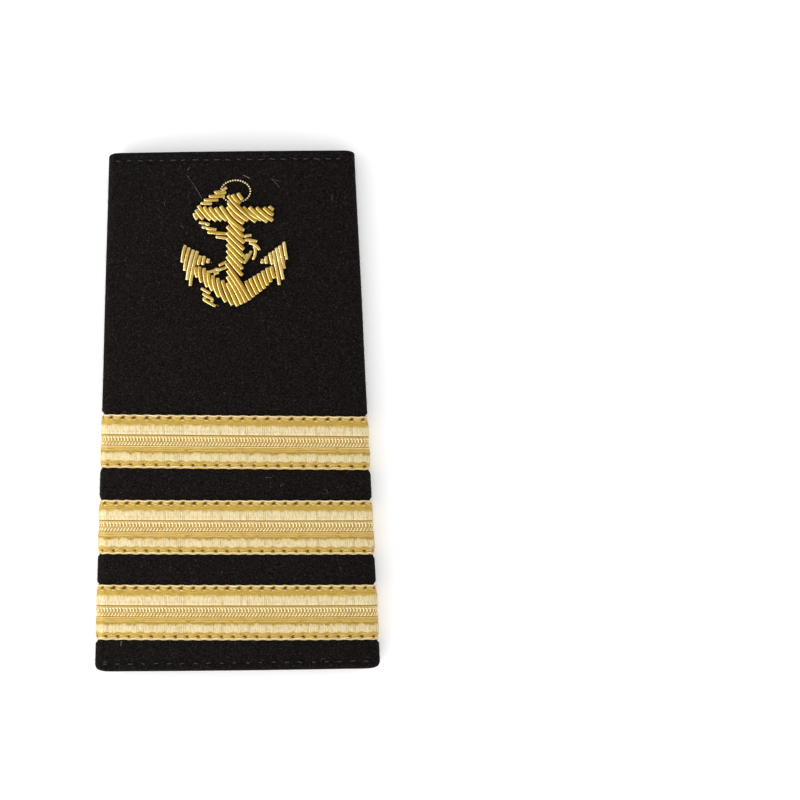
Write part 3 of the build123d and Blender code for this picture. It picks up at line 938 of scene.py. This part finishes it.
# Rows are a length's number, its two ends from the shank's line and the crown's tip, and how
# far its middle bulges to the left. Numbers between are shared out.
anchorFields = {
    "stock_left": {"rows": (
        (0, -8.7, 20.6, -8.0, 19.1, 0.15),
        (1, -8.4, 21.3, -6.7, 19.1, 0.10),
        (2, -7.9, 22.2, -5.1, 18.9, 0.15),
        (3, -6.7, 21.9, -3.9, 18.7, 0.15),
        (5, -4.2, 21.7, -1.6, 18.8, 0.20),
    )},
    "stock_cross": {"lift": 0.11, "replaced": ["anchor_head", "anchor_stock"], "rows": (
        (0, -3.0, 22.0, 2.1, 16.5, 0.45),
        (1, -1.5, 21.9, 2.1, 18.1, 0.40),
        (2, -1.4, 22.8, 3.0, 18.7, 0.35),
        (3, -1.4, 24.3, 4.7, 18.4, 0.30),
    )},
    "stock_right": {"rows": (
        (0, 1.8, 21.7, 6.0, 18.8, 0.25),
        (1, 3.2, 21.7, 7.2, 18.4, 0.20),
        (2, 4.7, 21.6, 8.4, 18.6, 0.15),
        (3, 6.3, 21.6, 8.5, 19.8, 0.10),
        (4, 7.5, 21.8, 8.5, 20.9, 0.05),
    )},
    "head": {"lift": 0.05, "rows": (
        (0, -0.5, 24.5, 1.3, 22.3, 0.10),
        (1, 0.75, 24.8, 1.8, 23.2, 0.05),
    )},
    "shank": {"lift": 0.05, "replaced": ["anchor_shank"], "rows": (
        (0, -1.3, 19.0, 2.0, 15.1, 0.10),
        (1, -1.7, 17.6, 2.1, 13.8, 0.05),
        (6, -1.8, 11.1, 1.6, 6.7, 0.05),
    )},
    "crown": {"lift": 0.10, "rows": (
        (0, -1.9, 9.5, 3.2, 1.4, -0.20),
        (1, -1.7, 8.0, 2.3, 0.9, -0.25),
        (2, -1.8, 6.7, 1.4, 0.5, -0.20),
        (3, -1.8, 5.3, 0.5, 0.1, 0.0),
    )},
    "arm_left": {"replaced": ["anchor_arms"], "rows": (
        (0, -8.7, 8.8, -8.2, 6.4, 0.05),
        (1, -7.7, 8.9, -7.3, 5.3, 0.15),
        (2, -6.7, 8.6, -6.0, 4.3, 0.25),
        (3, -5.8, 8.0, -4.9, 3.5, 0.35),
        (4, -4.8, 7.0, -3.4, 2.1, 0.40),
        (5, -3.8, 6.4, -2.0, 1.0, 0.35),
        (6, -2.8, 5.9, -0.6, 0.3, 0.20),
    )},
    "arm_right": {"rows": (
        (0, 2.2, 5.7, 4.0, 2.0, 0.05),
        (3, 5.0, 7.3, 6.4, 3.8, 0.05),
        (5, 6.9, 8.5, 7.8, 5.2, 0.05),
        (6, 7.8, 8.8, 8.5, 6.0, 0.05),
    )},
    "fluke_left": {**flukeWire, "replaced": ["anchor_fluke_left"], "rows": (
        (0, -10.7, 13.6, -11.5, 9.7, 0.15),
        (1, -9.9, 13.1, -11.0, 7.9, 0.15),
        (2, -9.0, 12.6, -10.5, 5.9, 0.10),
        (3, -8.1, 12.3, -9.8, 4.6, 0.20),
        (4, -7.45, 11.3, -8.1, 9.1, 0.0),
        (5, -6.6, 11.2, -7.1, 9.1, 0.0),
        (6, -5.7, 10.6, -6.0, 9.5, 0.0),
    )},
    "fluke_right": {**flukeWire, "radius": 0.42, "replaced": ["anchor_fluke_right"], "rows": (
        (0, 10.6, 14.1, 11.2, 10.1, 0.0),
        (1, 9.7, 13.3, 10.7, 8.1, 0.0),
        (2, 9.0, 12.8, 10.4, 5.8, 0.0),
        (3, 8.3, 12.2, 9.6, 4.6, 0.0),
        (4, 7.5, 11.8, 8.1, 9.0, 0.0),
        (5, 6.7, 11.0, 6.8, 9.2, 0.0),
        (6, 6.0, 10.4, 5.8, 9.3, 0.0),
    )},
}


def lengthPath(field, number, t):
    # A length is straight plus 4t(1-t) times its bow, and its height over the cloth is the
    # padding times a flattened half wave, which brings both its ends down into the cloth
    rows = np.array(field["rows"], float)
    columns = [np.interp(number, rows[:, 0], rows[:, k])[:, None] for k in range(1, 6)]
    startX, startY, endX, endY, bow = columns
    spanX, spanY = endX - startX, endY - startY
    length = np.hypot(spanX, spanY)
    bulge = 4 * t * (1 - t) * bow / length
    x = anchorOrigin[0] + startX + t * spanX + bulge * spanY
    y = anchorOrigin[1] + startY + t * spanY - bulge * spanX
    look = bullionShape
    dome = np.sin(np.pi * t) ** look["domePower"]
    height = field["radius"] * look["bedding"] + field["lift"]
    height = height + field["pad"] * np.minimum(1, length / look["padReach"]) * dome
    height = height - look["sink"] * (1 - dome) ** 2
    return np.stack([x, y, faceLevel(x, y) + height], -1), t * length, length


def bullionLengths(field):
    # Each length's radius carries the thread of its coiled wire, a cosine that turns once
    # round the length for each pitch, and closes in a little at both ends. Its tint is random
    # from length to length, plus painted light: it falls by a half cosine from left to right,
    # with painted shade between the coil's turns, a flat-topped painted highlight along its
    # left shoulder and a painted glint at each tip. Painted shade is bell-shaped round the
    # groove beside the next length, and a few lengths are tarnished all over.
    look, rows, radius = bullionShape, field["rows"], field["radius"]
    sides = look["sides"]
    number = np.arange(int(rows[-1][0]) + 1)
    longest = max(math.hypot(row[3] - row[1], row[4] - row[2]) for row in rows)
    t = np.linspace(0, 1, int(longest / look["ringStep"]) + 8)
    paths, distance, length = lengthPath(field, number, t)
    fromEnd = np.minimum(distance, length - distance)
    closing = 1 - np.clip(fromEnd / (radius * look["endRounding"]), 0, 1)
    ends = np.sqrt(np.clip(1 - closing**2, look["endClosing"], 1))[..., None]
    phase, size = rng.uniform(0, 1, (2, *length.shape, 1))
    winding = (distance / bullionLook["coilPitch"])[..., None] + phase + np.arange(sides) / sides
    coil = np.cos(winding * 2 * np.pi)
    radii = radius * (look["leastSize"] + look["sizeSpread"] * size)
    radii = radii * ends * (1 + look["coilDepth"] * coil)
    angle = np.arange(sides) / sides * 360
    # A painted glint at each tip, on the side that faces the light
    facing = (1 + np.cos(np.radians(angle - look["tipAt"]))) / 2
    tip = bell(fromEnd, look["tipReach"])[..., None] * facing
    # A painted highlight: a flat-topped bright line along the left shoulder
    highlight = np.exp(-(((angle - look["highlightAt"]) / look["highlightWidth"]) ** 4))
    highlight = np.maximum(highlight, look["tipTone"] * tip)
    # Random tone for each length, with painted shade between the coil's turns
    tint = rng.uniform(*field["tints"], (*length.shape, 1)) + look["coilTone"] * coil
    # Painted light: the left half, on the lamp's side, a little lighter
    tint = tint + look["flankTone"] * (1 + np.cos(np.radians(angle - look["flankAt"]))) / 2
    tint = np.clip(tint + (1 - tint) * highlight, 0, 1)
    tarnish = field["tarnish"] * rng.uniform(0, 1, (*length.shape, 1)) ** 3
    # Painted shade round the groove beside the next length, and tarnish
    grime = look["grimeTone"] * bell(angle - look["grimeAt"], look["grimeWidth"])
    grime = grime + tarnish * (1 - highlight)
    return tubes(paths, radii, sides, squash=look["squash"], upright=True, tint=tint, grime=grime)


pad = {
    "rows": 24,
    "columns": 20,
    "rim": 0.05,  # how far the lengths stand past the padding, as a share of one
    "lowered": 0.12,
    "bedded": 0.2,  # how deep in the cloth the rim lies
    "thickness": 0.05,  # at the rim
}


def padShape(field):
    # The padding under a field of lengths: their own middles lowered a little, drawn in at
    # the rim by steep half waves both ways, and closed by a flat underside in the cloth
    count, rim = pad["rows"], pad["rim"]
    number = np.linspace(rim, field["rows"][-1][0] - rim, count)
    t = np.linspace(rim, 1 - rim, pad["columns"])
    paths = lengthPath(field, number, t)[0]
    ground = faceLevel(paths[..., 0], paths[..., 1]) - pad["bedded"]
    firstToLast = np.sin(np.pi * (np.arange(count) + 0.6) / (count + 0.2))[:, None]
    share = np.clip(np.minimum(np.sin(np.pi * t), firstToLast * 2.5) * 3, 0, 1)
    top = paths.copy()
    top[..., 2] = ground + (paths[..., 2] - pad["lowered"] - ground) * share
    below = paths[:, ::-1].copy()
    below[..., 2] = ground[:, ::-1] - pad["thickness"]
    return ringGrid(np.concatenate([top, below], 1))


for name, field in anchorFields.items():
    field = {**anchorWire, **field}
    replaced = field.get("replaced", ())
    makePiece(f"bullion_{name}", bullionLengths(field), bullion, replaced)
    makePiece(f"padding_{name}", padShape(field), padding)
print("anchor laid")


# The rope's short lengths beside the shank, as both ends and the bulge to the left
ropeLengths = {
    "rope_upper": (
        (-2.6, 25.3, -1.6, 26.0, 0.0),
        (-4.4, 24.95, -2.4, 25.15, 0.0),
        (-4.1, 24.6, -1.7, 24.9, 0.0),
        (-5.6, 24.1, -2.0, 24.1, 0.0),
        (-6.7, 23.3, -3.4, 23.3, 0.0),
        (-7.4, 22.6, -4.8, 22.5, 0.0),
    ),
    "rope_middle": (
        (-7.8, 18.5, -6.2, 18.2, 0.0),
        (-6.4, 18.2, -5.4, 17.9, 0.0),
        (-7.2, 17.5, -6.2, 17.3, 0.0),
        (-6.3, 17.2, -3.9, 16.8, 0.0),
        (-6.0, 16.3, -1.7, 15.9, 0.0),
        (-4.2, 15.3, -1.7, 14.9, 0.0),
    ),
    "rope_loop": (
        (2.0, 15.3, 3.7, 15.5, -0.05),
        (2.0, 14.5, 4.9, 14.1, -0.15),
        (3.0, 13.9, 5.4, 12.2, -0.40),
        (4.1, 13.3, 3.8, 10.2, -0.50),
        (3.6, 12.2, 1.9, 9.4, -0.15),
        (2.8, 11.5, 1.8, 10.5, -0.05),
    ),
    "rope_lower": (
        (-3.6, 9.0, -1.8, 9.9, 0.0),
        (-5.6, 7.7, -4.0, 8.3, 0.1),
        (-4.3, 8.3, -3.1, 8.05, 0.0),
        (-3.4, 8.1, -1.7, 8.7, 0.0),
        (-4.7, 7.2, -3.5, 7.6, 0.0),
    ),
    "rope_tail": (
        (-7.5, 4.2, -5.4, 2.9, 0.0),
        (-7.2, 3.0, -4.9, 1.7, 0.0),
        (-5.0, 1.9, -5.3, 1.0, -0.1),
        (-7.1, 1.8, -4.3, 0.2, 0.05),
        (-7.1, 1.7, -6.4, 2.2, 0.0),
    ),
}
for node, lengths in ropeLengths.items():
    rows = [(number, *row) for number, row in enumerate(lengths)]
    shape = bullionLengths({**ropeWire, "rows": rows})
    makePiece(f"bullion_{node}", shape, bullion, [node])
print("rope laid")


# The ring: stiff gilt wire coiled so that each turn stands out like a pearl
ring = {
    "middle": (0.3, 25.1),
    "halfWidth": 3.2,
    "halfHeight": 2.42,
    "radius": 0.22,
    "groove": 0.85,  # how much thinner it is between two pearls
    "pearlPitch": 0.56,  # the real pitch is 0.42 mm, drawn coarser so that it shows
    "height": 0.24,
    "steps": 480,
    "sides": 10,
}


def makeRing():
    # The line is an ellipse, and the radius is a row of pearls along it: |cos|^0.6 of half
    # a turn for each pearl. Its cube is the tint: a painted highlight on each pearl and painted
    # shade in the groove between pearls.
    turn = np.linspace(0, 2 * np.pi, ring["steps"] + 1)[:-1]
    x = anchorOrigin[0] + ring["middle"][0] + ring["halfWidth"] * np.cos(turn)
    y = anchorOrigin[1] + ring["middle"][1] + ring["halfHeight"] * np.sin(turn)
    line = np.stack([x, y, faceLevel(x, y) + ring["height"]], -1)
    run = unit(np.roll(line, -1, 0) - np.roll(line, 1, 0))
    side = unit(np.cross(run, (0.0, 0.0, 1.0)))
    up = np.cross(side, run)
    steps = np.linalg.norm(np.roll(line, -1, 0) - line, axis=1)
    distance = np.cumsum(steps) - steps
    pearls = round(steps.sum() / ring["pearlPitch"])
    around = np.arange(ring["sides"]) / ring["sides"] * 2 * np.pi
    pearl = np.abs(np.cos(distance / steps.sum() * pearls * np.pi))[:, None] ** 0.6
    pearl = np.broadcast_to(pearl, (len(turn), len(around)))
    radius = ring["radius"] * (1 - ring["groove"] * (1 - pearl))
    spokes = np.cos(around)[:, None] * side[:, None] + np.sin(around)[:, None] * up[:, None]
    shape = {
        "points": line[:, None] + radius[..., None] * spokes,
        "quads": gridFaces(*radius.shape, True, True),
        "caps": [],
        "marks": {"tint": pearl**3, "grime": 0 * pearl},
    }
    makePiece("pearled_ring", shape, pearlWire, ["anchor_ring"])


makeRing()
print("ring laid")


# Wool fibres that stand off the felt, and stray lint
nap = {
    "count": 2800,
    "length": (0.4, 1.5),
    "radius": 0.016,
    "stand": 0.14,
    "lintCount": 26,
    "lintLength": (0.8, 2.4),
    "edgeGap": 0.8,
    "pastFace": 3.5,  # how far round a fold a fibre may start
    "underRun": 3.0,
    "curl": 1.6,  # how far a fibre's heading turns, in radians
    "lintCurl": 2.0,
    # Single threads near the anchor and the lowest lace: both ends and radius
    "threads": (
        (-10.5, 29.0, -8.3, 25.9, 0.010),
        (-8.35, 25.95, -7.1, 23.6, 0.020),
        (-10.2, 29.9, -9.5, 30.5, 0.02),
        (2.0, 28.6, 3.4, 27.9, 0.045),
        (7.9, 27.8, 10.1, 27.1, 0.012),
        (8.4, 27.4, 9.9, 25.8, 0.012),
        (-4.3, 0.6, -3.7, 0.2, 0.06),
        (-5.6, 9.9, -5.1, 9.6, 0.05),
        (-25.8, -72.4, -25.9, -73.4, 0.04),
    ),
}


def fibreTubes(count, lengths, curl):
    # A fibre starts anywhere on the face or its folds, and its heading turns steadily; its
    # height over the cloth is a half wave
    half = slide["half"] - nap["edgeGap"]
    start = rng.uniform(-half, half, (count, 1))
    girth = rng.uniform(-1, 1, (count, 1)) * (halfWidth(start) + nap["pastFace"])
    length = rng.uniform(*lengths, (count, 1))
    t = np.linspace(0, 1, 5)
    heading = rng.uniform(0, 2 * np.pi, (count, 1)) + rng.normal(0, curl, (count, 1)) * t
    girth = girth + np.cumsum(np.cos(heading), 1) * length / len(t)
    along = np.clip(start + np.cumsum(np.sin(heading), 1) * length / len(t), -half, half)
    stand = nap["stand"] * rng.uniform(0.2, 1, (count, 1))
    height = 0.02 + stand * np.sin(np.pi * t)
    station = np.clip(stationAt(girth, along, nap["underRun"]), -1.95, 1.95)
    paths = wrapPoint(station, along, height)
    up = unit(wrapPoint(station, along, height + 1.0) - paths)
    taper = np.array((0.5, 1, 1, 0.9, 0.4))
    return tubes(paths, taper * nap["radius"], 3, up)


def makeNap():
    # Loose fibres of the felt itself, and pale lint: the single threads and short curls
    fibres = fibreTubes(nap["count"], nap["length"], nap["curl"])
    makePiece("felt_nap", fibres, woolFibre)
    t = np.linspace(0, 1, 9)
    ends = np.array(nap["threads"])
    x, y = (ends[:, k, None] * (1 - t) + ends[:, k + 2, None] * t + anchorOrigin[k] for k in (0, 1))
    x = x + 0.03 * np.sin(np.pi * t) * np.hypot(ends[:, 2] - ends[:, 0], 1)[:, None]
    paths = np.stack([x, y, faceLevel(x, y) + 0.08], -1)
    single = tubes(paths, ends[:, 4, None] * np.ones(len(t)), 6)
    specks = fibreTubes(nap["lintCount"], nap["lintLength"], nap["lintCurl"])
    makePiece("stray_lint", joined([single, specks]), lintFibre)


makeNap()
print("nap and lint strewn")


# The photograph's view: straight down, with the slide left of the middle
view = {
    "fieldWidth": 174.2,  # across the picture at the slide's level
    "aimX": 36.1,
    "aimY": 1.95,
    "roll": -0.66,  # degrees
    "distance": 1500.0,
    "level": 6.0,
    "sensorWidth": 36.0,
}
# Metres and watts
studio = {
    "surround": 1.0,
    "stripPlace": (-1.02, -0.60, 0.62),
    "stripLength": 2.8,
    "stripWidth": 0.13,
    "stripPower": 17.0,
    "floorReach": 3.0,
    "floorLevel": -1e-4,
    "floorGlow": 0.15,
}


def makeStudio():
    # A sheet of opal acrylic under the slide, lit faintly from below, in a light tent that
    # leaves hardly a shadow, and a low strip light that shines along the bullion's lengths.
    # The lens is the sensor's width times the distance, over the field's width.
    camera = bpy.data.cameras.new("copyStand")
    camera.sensor_width = view["sensorWidth"]
    camera.lens = camera.sensor_width * view["distance"] / view["fieldWidth"]
    camera.clip_end = 20.0
    cameraObject = bpy.data.objects.new("copyStand", camera)
    bpy.context.scene.collection.objects.link(cameraObject)
    cameraObject.location = Vector((view["aimX"], view["aimY"], view["level"] + view["distance"])) * mm
    cameraObject.rotation_euler = (0, 0, math.radians(view["roll"]))
    bpy.context.scene.camera = cameraObject
    light = bpy.data.lights.new("stripLow", "AREA")
    light.shape = "RECTANGLE"
    light.size = studio["stripLength"]
    light.size_y = studio["stripWidth"]
    light.energy = studio["stripPower"]
    lamp = bpy.data.objects.new("stripLow", light)
    bpy.context.scene.collection.objects.link(lamp)
    lamp.location = studio["stripPlace"]
    lamp.rotation_euler = (-lamp.location).to_track_quat("-Z", "Y").to_euler()
    far, level = studio["floorReach"], studio["floorLevel"]
    corners = [(x * far, y * far, level) for x, y in ((-1, -1), (1, -1), (1, 1), (-1, 1))]
    sheet = bpy.data.meshes.new("whiteSheet")
    sheet.from_pydata(corners, [], [(0, 1, 2, 3)])
    floor = bpy.data.objects.new("whiteSheet", sheet)
    bpy.context.scene.collection.objects.link(floor)
    white, tree, surface = newMaterial("litOpalAcrylic", {
        "Base Color": (0.96, 0.96, 0.96, 1), "Roughness": 0.9, "IOR": 1.49,
        "Emission Color": (1, 1, 1, 1), "Emission Strength": studio["floorGlow"]})
    sheet.materials.append(white)
    world = bpy.data.worlds.new("studio")
    bpy.context.scene.world = world
    world.use_nodes = True
    background = world.node_tree.nodes["Background"]
    background.inputs[0].default_value = (1, 1, 1, 1)
    background.inputs[1].default_value = studio["surround"]
    bpy.context.scene.view_settings.view_transform = "Standard"


makeStudio()
